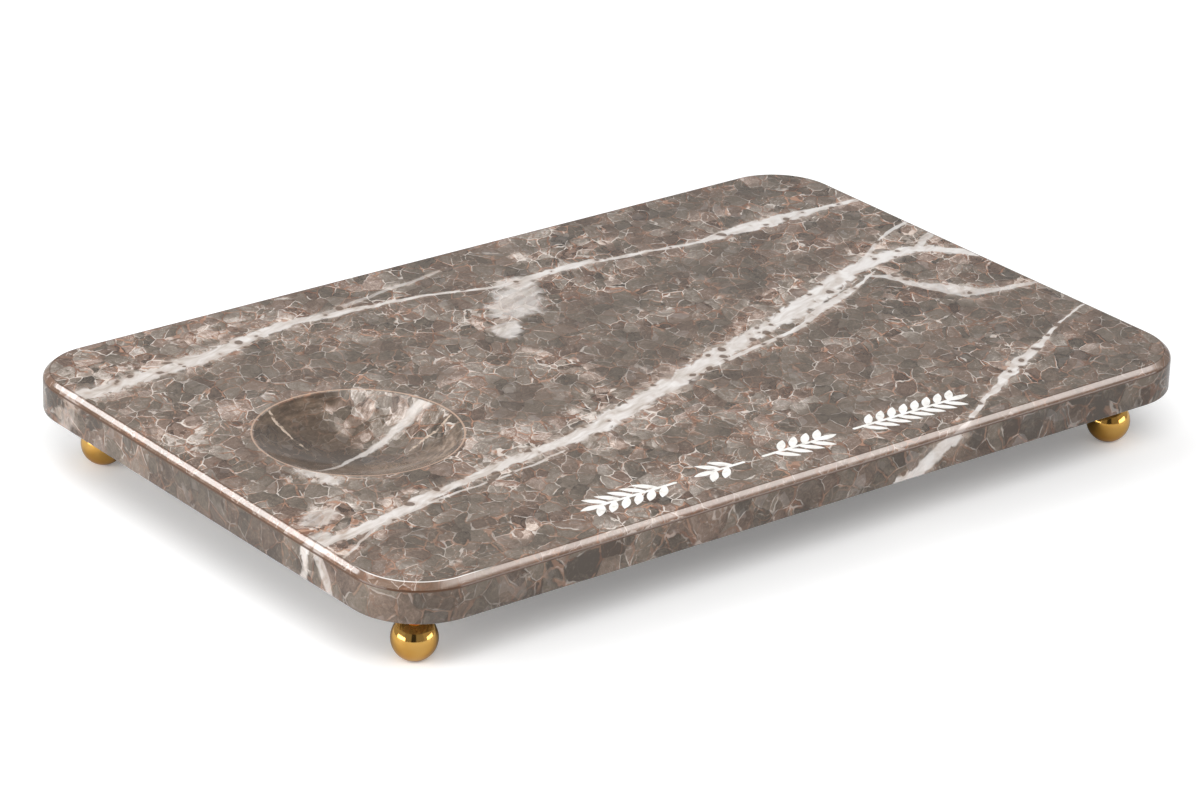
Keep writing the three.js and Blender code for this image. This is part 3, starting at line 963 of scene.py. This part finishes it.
def slab_outline(inset, steps=28):
    radius = CORNER_RADIUS - inset
    x = SLAB_HIGH.x - CORNER_RADIUS
    y = SLAB_HIGH.y - CORNER_RADIUS
    ring = []
    for i, corner in enumerate([(x, y), (-x, y), (-x, -y), (x, -y)]):
        ring += arc(corner, radius, 90 * i, 90 * i + 90, steps)
    return ring


def circle(centre, radius, sides):
    return arc(centre, radius, 0, 360, sides)[:-1]


def bevel_profile():
    """The top edge as (inset, depth) from the side up to the flat top: a bevel whose two
    edges are rounded."""
    slope = math.atan2(BEVEL_DROP, BEVEL_INSET)
    steep = math.pi / 2 - slope
    low_reach = BEVEL_LOW_RADIUS * math.tan(steep / 2)
    top_reach = BEVEL_TOP_RADIUS * math.tan(slope / 2)
    low = arc((BEVEL_LOW_RADIUS, BEVEL_DROP + low_reach), BEVEL_LOW_RADIUS,
              180, 180 + math.degrees(steep), 8)
    top = arc((BEVEL_INSET + top_reach, BEVEL_TOP_RADIUS), BEVEL_TOP_RADIUS,
              180 + math.degrees(steep), 270, 6)
    return low + top


def raised(outline, height):
    return [(x, y, height) for x, y in outline]


def dip_profile():
    """The dip as (radius, height) from its rounded rim down to just short of its middle."""
    sphere = (DIP_RADIUS ** 2 + DIP_DEPTH ** 2) / (2 * DIP_DEPTH)
    centre = SLAB_TOP - DIP_DEPTH + sphere
    # The rounding touches the sphere from inside the stone, and the flat top
    rim_height = SLAB_TOP - DIP_RIM_RADIUS
    reach = sphere + DIP_RIM_RADIUS
    rim_radius = math.sqrt(reach ** 2 - (centre - rim_height) ** 2)
    rim_angle = math.degrees(math.asin(rim_radius / reach))
    rim = arc((rim_radius, rim_height), DIP_RIM_RADIUS, 90, 90 + rim_angle, 8)
    bowl = arc((0, centre), sphere, -90 + rim_angle, -90, 40)
    return rim + bowl[1:-1], bowl[-1][1]


def grain_outline(grow, steps=14):
    """Two arcs that meet in points, about the origin and along X."""
    half_length = GRAIN_LENGTH / 2
    half_width = GRAIN_WIDTH / 2
    side = (half_length ** 2 + half_width ** 2) / (2 * half_width)
    centre = side - half_width
    start = math.degrees(math.asin(centre / (side + grow)))
    upper = arc((0, -centre), side + grow, start, 180 - start, steps)
    lower = arc((0, centre), side + grow, 180 + start, 360 - start, steps)
    return upper[:-1] + lower[:-1]


def sprig_loops(node, direction, grow):
    """A sprig's outlines: a stem, a grain at its tip and pairs of grains along it."""
    low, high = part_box(node)
    length = high.x - low.x
    half = STEM_WIDTH / 2
    tip = length - GRAIN_LENGTH
    stem_end = length - GRAIN_LENGTH / 2 - half
    loops = [arc((stem_end, 0), half + grow, -90, 90, 8) + arc((half, 0), half + grow, 90, 270, 8)]
    places = [(tip, 0.0)]
    for side in (1, -1):
        x = tip if side > 0 else tip - GRAIN_PITCH / 2
        while x >= BARE_STEM:
            places.append((x, side * GRAIN_ANGLE))
            x -= GRAIN_PITCH
    for x, angle in places:
        turn = Matrix.Rotation(angle, 2)
        spots = [turn @ Vector((px + GRAIN_LENGTH / 2, py)) for px, py in grain_outline(grow)]
        loops.append([(x + spot.x, spot.y) for spot in spots])
    base = low.x if direction > 0 else high.x
    middle = (low.y + high.y) / 2
    return [[(base + direction * x, middle + direction * y) for x, y in loop] for loop in loops]


def make_sprig(name, node, direction):
    flat, areas, _ = sheet({"sprig": sprig_loops(node, direction, 0.0)})
    low = SLAB_TOP - SPRIG_DEPTH
    build = Builder()
    build.lay(flat, areas["sprig"], SLAB_TOP)
    build.lay(flat, areas["sprig"], low, down=True)
    build.walls(flat, areas["sprig"], low, SLAB_TOP)
    sprig = build.made(f"sprig_{name}")
    smoothed(sprig)
    return sprig


def make_slab():
    build = Builder()
    bottom = arc((BOTTOM_EDGE_RADIUS, UNDERSIDE + BOTTOM_EDGE_RADIUS), BOTTOM_EDGE_RADIUS, 270, 180, 6)
    top = [(inset, SLAB_TOP - depth) for inset, depth in bevel_profile()]
    dip_rings, dip_floor = dip_profile()

    # The top, with the dip's mouth and the pockets for the sprigs
    outline = slab_outline(top[-1][0])
    mouth = circle((DIP_X, DIP_Y), dip_rings[0][0], DIP_SIDES)
    pockets = [loop for name, direction in SPRIGS.items()
               for loop in sprig_loops(f"wheat_sprig_{name}", direction, POCKET_GAP)]
    flat, areas, where = sheet({"top": [outline], "dip": [mouth], "pocket": pockets})
    pocket_floor = SLAB_TOP - SPRIG_DEPTH - POCKET_GAP
    build.lay(flat, areas["top"], SLAB_TOP)
    build.lay(flat, areas["pocket"], pocket_floor)
    build.walls(flat, areas["pocket"], SLAB_TOP, pocket_floor)
    top_ring = [build.spot(flat, where[i], SLAB_TOP) for i in range(len(outline))]
    ring = [build.spot(flat, where[len(outline) + i], SLAB_TOP) for i in range(len(mouth))]
    for radius, height in dip_rings[1:]:
        lower = build.ring(raised(circle((DIP_X, DIP_Y), radius, len(mouth)), height))
        build.loft(ring, lower)
        ring = lower
    build.loft(ring, build.ring([(DIP_X, DIP_Y, dip_floor)]))

    # The underside, with the blind holes for the inserts
    build.known = {}
    under = slab_outline(BOTTOM_EDGE_RADIUS)
    holes = []
    for corner in CORNERS:
        low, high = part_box(f"threaded_insert_{corner}")
        holes.append(circle(((low.x + high.x) / 2, (low.y + high.y) / 2), HOLE_RADIUS, HOLE_SIDES))
    flat, areas, where = sheet({"under": [under], "hole": holes})
    build.lay(flat, areas["under"], UNDERSIDE, down=True)
    for i, hole in enumerate(holes):
        start = len(under) + i * len(hole)
        mouth_ring = [build.spot(flat, where[start + k], UNDERSIDE) for k in range(len(hole))]
        end_ring = build.ring(raised(hole, UNDERSIDE + HOLE_DEPTH))
        build.loft(end_ring, mouth_ring)
        build.faces.append(end_ring[::-1])
    ring = [build.spot(flat, where[i], UNDERSIDE) for i in range(len(under))]

    # The sides, from the underside up to the top
    for inset, height in bottom[1:] + top[:-1]:
        higher = build.ring(raised(slab_outline(inset), height))
        build.loft(ring, higher)
        ring = higher
    build.loft(ring, top_ring)
    slab = build.made("slab")
    smoothed(slab)
    return slab


def make_foot(corner):
    low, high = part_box(f"ball_foot_{corner}")
    collar_top = UNDERSIDE - WASHER_THICKNESS
    collar_base = collar_top - COLLAR_HEIGHT
    ball_centre = math.sqrt(BALL_RADIUS ** 2 - PAD_RADIUS ** 2)
    pad = -math.degrees(math.acos(PAD_RADIUS / BALL_RADIUS))
    # The hollow fillet touches the ball below and the straight neck above
    fillet_x = NECK_RADIUS + NECK_FILLET
    fillet_z = ball_centre + math.sqrt((BALL_RADIUS + NECK_FILLET) ** 2 - fillet_x ** 2)
    meeting = math.degrees(math.atan2(fillet_z - ball_centre, fillet_x))
    rounding = (COLLAR_RADIUS - COLLAR_ROUNDING, collar_base + COLLAR_ROUNDING)
    upper = (COLLAR_RADIUS - COLLAR_ROUNDING / 2, collar_top - COLLAR_ROUNDING / 2)
    profile = [
        (0, 0),
        *arc((0, ball_centre), BALL_RADIUS, pad, meeting, 48),
        *arc((fillet_x, fillet_z), NECK_FILLET, meeting + 180, 180, 8)[1:],
        (NECK_RADIUS, collar_base),
        *arc(rounding, COLLAR_ROUNDING, -90, 0, 6),
        *arc(upper, COLLAR_ROUNDING / 2, 0, 90, 4),
        (BORE_RADIUS, collar_top),
        (BORE_RADIUS, collar_top - BORE_DEPTH),
        (0, collar_top - BORE_DEPTH),
    ]
    x, y = (low.x + high.x) / 2, (low.y + high.y) / 2
    foot = turned(f"foot_{corner}", profile, FOOT_SIDES, x, y)
    smoothed(foot)
    return foot


# The table, the world and the lamps

def make_table():
    bpy.ops.mesh.primitive_circle_add(
        vertices=TABLE_SIDES, radius=TABLE_RADIUS, fill_type="NGON", location=(0, 0, -TABLE_DROP))
    table = bpy.context.object
    table.name = "table"
    g = Graph("white_table")
    place = g.place()
    colour = g.mixed(g.noise(place, 180, detail=2), "f2f2f2", "f5f5f5")
    path = g.add("ShaderNodeLightPath").outputs
    dim = g.joined(MIRRORED_TABLE, MIRRORED_TABLE, MIRRORED_TABLE)
    colour = g.mixed(path["Is Glossy Ray"], colour, g.vector("MULTIPLY", colour, dim))
    g.surface(Base_Color=colour, Roughness=0.6, Specular_IOR_Level=0.2)
    # To the camera the table has a little white of its own, which lightens its shadows, and
    # more of it far away, where the lamps are weaker
    away = g.vector("LENGTH", g.vector("MULTIPLY", place, (MM, MM, 0.0)))
    glow = g.times(path["Is Camera Ray"], g.step(away, NEAR_REACH, FAR_REACH, TABLE_GLOW, FAR_GLOW))
    white = g.add("ShaderNodeEmission", {"Strength": glow}).outputs[0]
    pale = g.add("ShaderNodeAddShader", {0: g.shader.outputs[0], 1: white}).outputs[0]
    clear = g.add("ShaderNodeBsdfTransparent").outputs[0]
    behind = g.add("ShaderNodeNewGeometry").outputs["Backfacing"]
    either = g.add("ShaderNodeMixShader", {0: behind, 1: pale, 2: clear})
    output = next(n for n in g.tree.nodes if n.type == "OUTPUT_MATERIAL")
    g.feed(output.inputs["Surface"], either.outputs[0])
    table.data.materials.append(g.material)


def make_world(level):
    """A white room, at level for diffuse light. Mirrors see pale grey walls, with a darker card
    and a narrow dark one where a photographer stands."""
    world = bpy.data.worlds.new("world")
    bpy.context.scene.world = world
    world.use_nodes = True
    g = Graph.over(world.node_tree)
    x, y, z = g.axes(g.add("ShaderNodeTexCoord").outputs["Generated"])
    turn = g.maths("ARCTAN2", x, g.times(y, -1.0))
    turn = g.maths("ABSOLUTE", g.minus(turn, CARD_AZIMUTH))
    card = g.step(turn, CARD_HALF - CARD_BLUR, CARD_HALF + CARD_BLUR, CARD_GREY, WALL_GREY)
    dark = g.step(turn, DARK_HALF - CARD_BLUR, DARK_HALF + CARD_BLUR, CARD_DARK, 1.0)
    mirrored = g.between(g.step(z, CARDS_END, WALLS_START), 0.0, 1.0, g.times(card, dark), WALL_GREY)
    path = g.add("ShaderNodeLightPath").outputs
    glossy = g.between(path["Is Glossy Ray"], 0.0, 1.0, level, mirrored)
    seen = g.most(path["Is Camera Ray"], path["Is Transmission Ray"])
    g.feed(world.node_tree.nodes["Background"].inputs["Color"], (1, 1, 1, 1))
    g.feed(world.node_tree.nodes["Background"].inputs["Strength"], g.between(seen, 0.0, 1.0, glossy, 1.0))


def make_lamp(name, azimuth, elevation, distance, size, level, lights=True, mirrored=True):
    """A soft box facing the board's middle. The azimuth turns from the front towards the right,
    and a level of 1 looks white. It may be left out of the even light, or out of reflections."""
    turn, rise = math.radians(azimuth), math.radians(elevation)
    lamp = bpy.data.lights.new(name, "AREA")
    lamp.shape = "RECTANGLE"
    lamp.size, lamp.size_y = size
    lamp.energy = 4 * size[0] * size[1] * level
    made = bpy.data.objects.new(name, lamp)
    outward = Vector((math.sin(turn) * math.cos(rise), -math.cos(turn) * math.cos(rise), math.sin(rise)))
    made.location = outward * distance
    made.rotation_euler = outward.to_track_quat("Z", "Y").to_euler()
    made.visible_diffuse = lights
    made.visible_glossy = mirrored
    bpy.context.scene.collection.objects.link(made)


# The scene

scene = bpy.context.scene
scene.view_settings.view_transform = "Standard"
make_camera()
make_table()
make_world(level=0.38)
make_lamp("key_box", -26, 48, 3.2, (2.6, 1.6), 4.9, mirrored=False)
make_lamp("sky_box", -158, 68, 1.6, (1.2, 0.9), 1.1)
make_lamp("edge_box", -150, 34, 1.8, (0.42, 0.32), 8.0, lights=False)
make_lamp("top_box", 74, 47, 1.6, (0.85, 0.75), 2.6, lights=False)
make_lamp("left_box", -100, 19, 1.5, (1.1, 0.8), 3.8, mirrored=False)
make_lamp("left_card", -98, 7.5, 1.5, (1.1, 0.34), 3.4, lights=False)
make_lamp("right_card", 38, 7.5, 1.5, (1.0, 0.34), 2.6, lights=False)


def dress(piece, material, node):
    """Gives a new piece its material, and lets it stand for its CAD node."""
    piece.data.materials.clear()
    piece.data.materials.append(material)
    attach(piece, "root")
    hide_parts(node)


def redress(node, material):
    """Gives a CAD node that stays in view its material."""
    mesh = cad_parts[node].data
    mesh.materials.clear()
    mesh.materials.append(material)


dress(make_slab(), marble(), "marble_slab")

resin = white_resin()
for name, direction in SPRIGS.items():
    node = f"wheat_sprig_{name}"
    dress(make_sprig(name, node, direction), resin, node)

brass = polished_brass()
steel, turned_brass, washer_nylon = stud_steel(), insert_brass(), nylon()
for corner in CORNERS:
    dress(make_foot(corner), brass, f"ball_foot_{corner}")
    redress(f"foot_stud_{corner}", steel)
    redress(f"threaded_insert_{corner}", turned_brass)
    redress(f"foot_washer_{corner}", washer_nylon)
